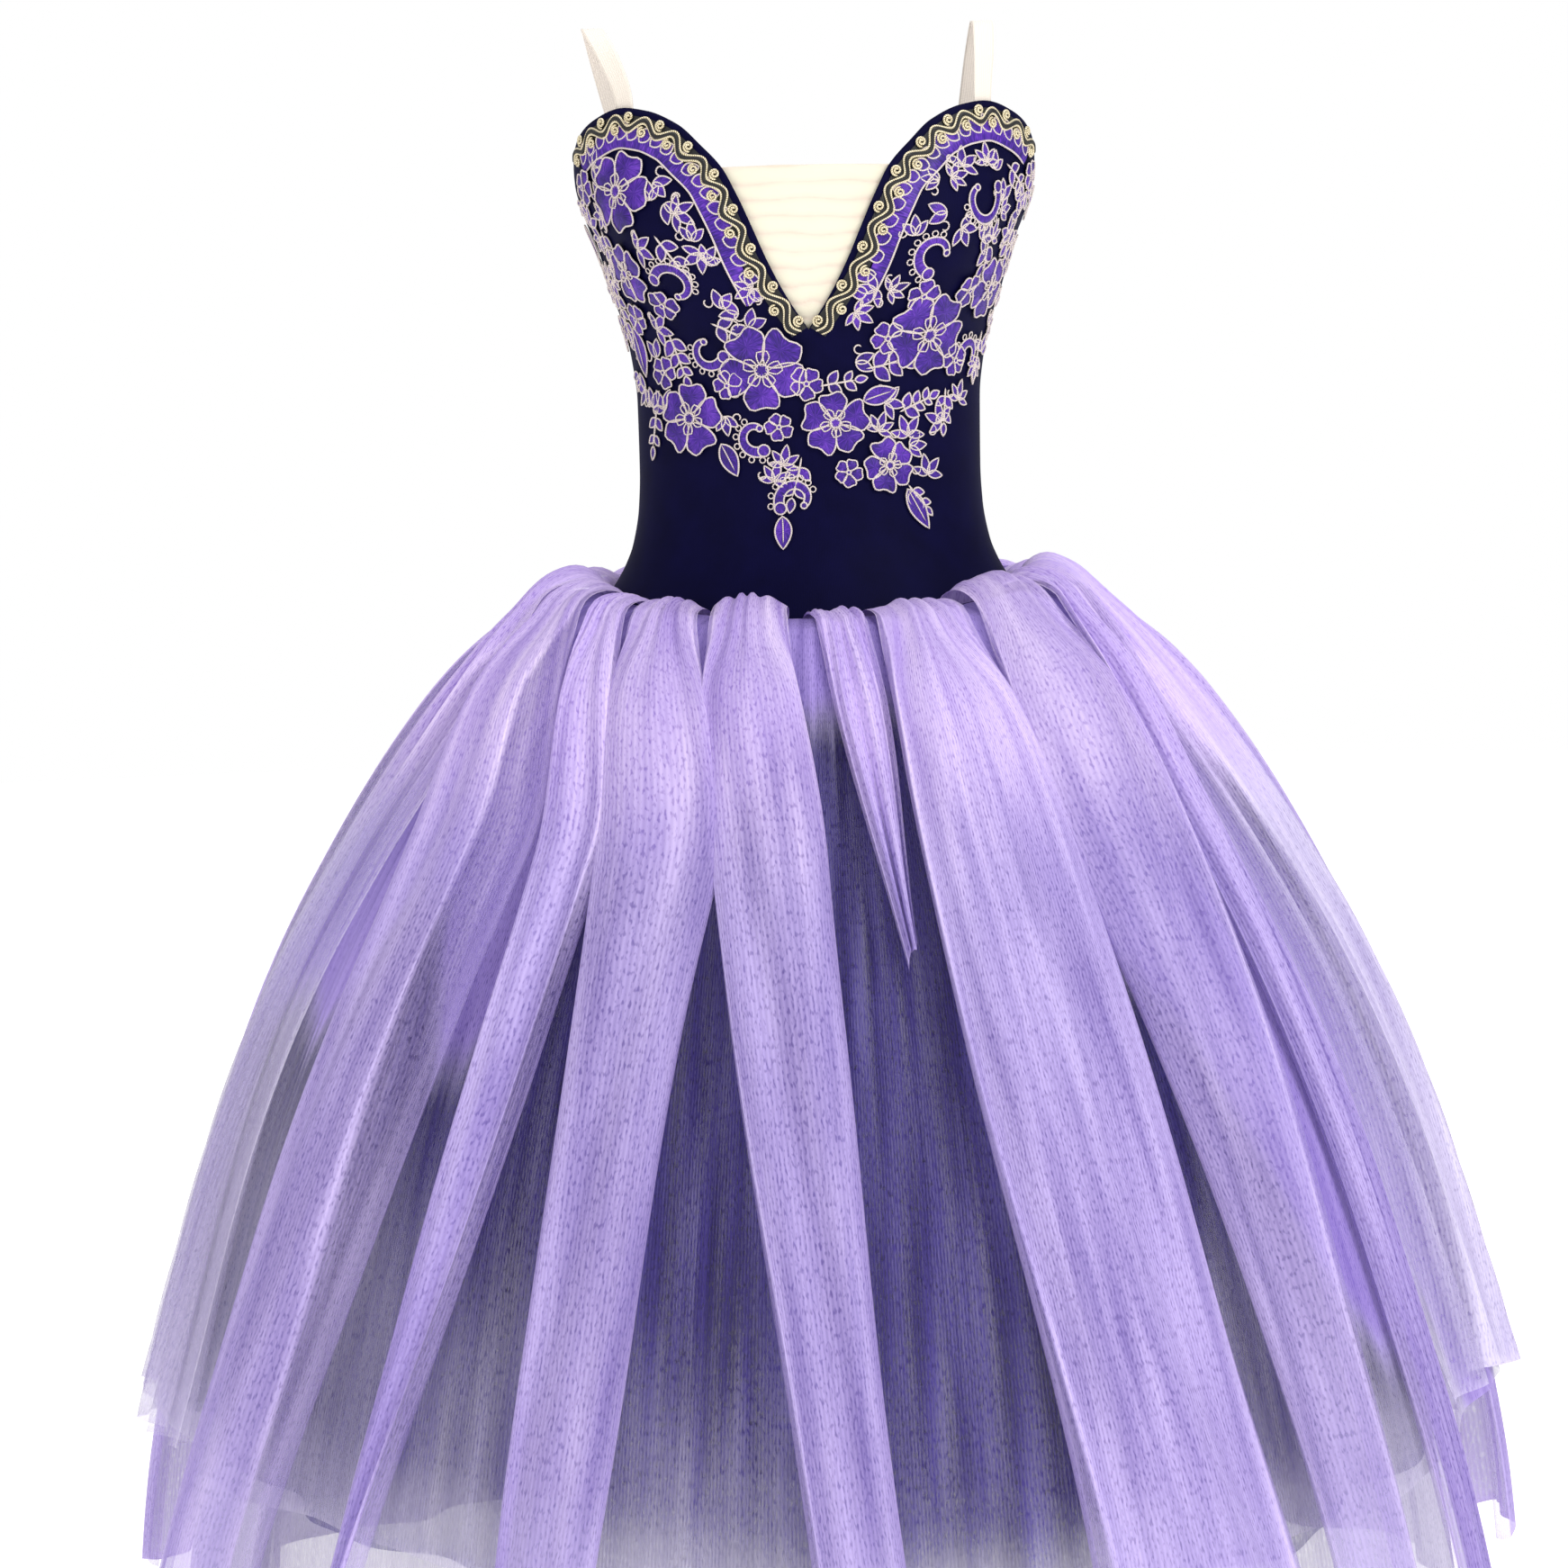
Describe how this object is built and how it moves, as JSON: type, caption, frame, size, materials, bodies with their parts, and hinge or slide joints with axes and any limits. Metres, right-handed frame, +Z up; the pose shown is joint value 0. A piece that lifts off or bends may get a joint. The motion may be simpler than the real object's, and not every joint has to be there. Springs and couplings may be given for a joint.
{
  "type": "ballet dress",
  "caption": "Ballet dress: navy stretch bodice with a mesh-filled V, gold braid and violet lace, nude straps and a long gathered tulle skirt in lavender over indigo.",
  "frame": {"origin": "midway between the two shoulder straps, level with the top of the shoulders", "axes": "+Z up from hem to shoulders, -Y towards the front of the dress, +X towards the right of a viewer who faces the front"},
  "size_m": [0.9956, 0.8727, 1.1124],
  "materials": {
    "navy_lycra": "matte stretch knit",
    "nude_mesh": "fine matte stretch mesh",
    "nude_elastic": "matte ribbed elastic",
    "gold_gimp": "metallic cord braid",
    "violet_lace": "satin corded lace",
    "indigo_tulle": "matte sheer net",
    "smoke_tulle": "matte sheer net",
    "lavender_tulle": "matte sheer net"
  },
  "bodies": {
    "root": {"bodice_front": "navy_lycra", "bodice_back": "navy_lycra", "mesh_insert": "nude_mesh", "strap_left": "nude_elastic", "strap_right": "nude_elastic", "braid_left": "gold_gimp", "braid_right": "gold_gimp", "lace_flower_01": "violet_lace", "lace_flower_02": "violet_lace", "lace_flower_03": "violet_lace", "lace_flower_04": "violet_lace", "lace_flower_05": "violet_lace", "lace_flower_06": "violet_lace", "lace_flower_07": "violet_lace", "lace_flower_08": "violet_lace", "lace_scroll_01": "violet_lace", "lace_scroll_02": "violet_lace", "lace_scroll_03": "violet_lace", "lace_scroll_04": "violet_lace", "lace_scroll_05": "violet_lace", "lace_scroll_06": "violet_lace", "lace_scroll_07": "violet_lace", "lace_leaf_01": "violet_lace", "lace_leaf_02": "violet_lace", "lace_leaf_03": "violet_lace", "lace_leaf_04": "violet_lace", "lace_leaf_05": "violet_lace", "lace_leaf_06": "violet_lace", "lace_band_left": "violet_lace", "lace_band_right": "violet_lace", "skirt_pale": "smoke_tulle", "skirt_indigo": "indigo_tulle", "skirt_smoke": "smoke_tulle", "overskirt_01": "lavender_tulle", "overskirt_02": "lavender_tulle", "overskirt_03": "lavender_tulle", "overskirt_04": "lavender_tulle", "overskirt_05": "lavender_tulle", "overskirt_06": "lavender_tulle", "overskirt_07": "lavender_tulle", "overskirt_08": "lavender_tulle", "overskirt_09": "lavender_tulle", "overskirt_10": "lavender_tulle", "overskirt_11": "lavender_tulle", "overskirt_12": "lavender_tulle", "overskirt_13": "lavender_tulle", "overskirt_14": "lavender_tulle", "overskirt_15": "lavender_tulle", "overskirt_16": "lavender_tulle", "overskirt_17": "lavender_tulle"}
  },
  "joints": []
}
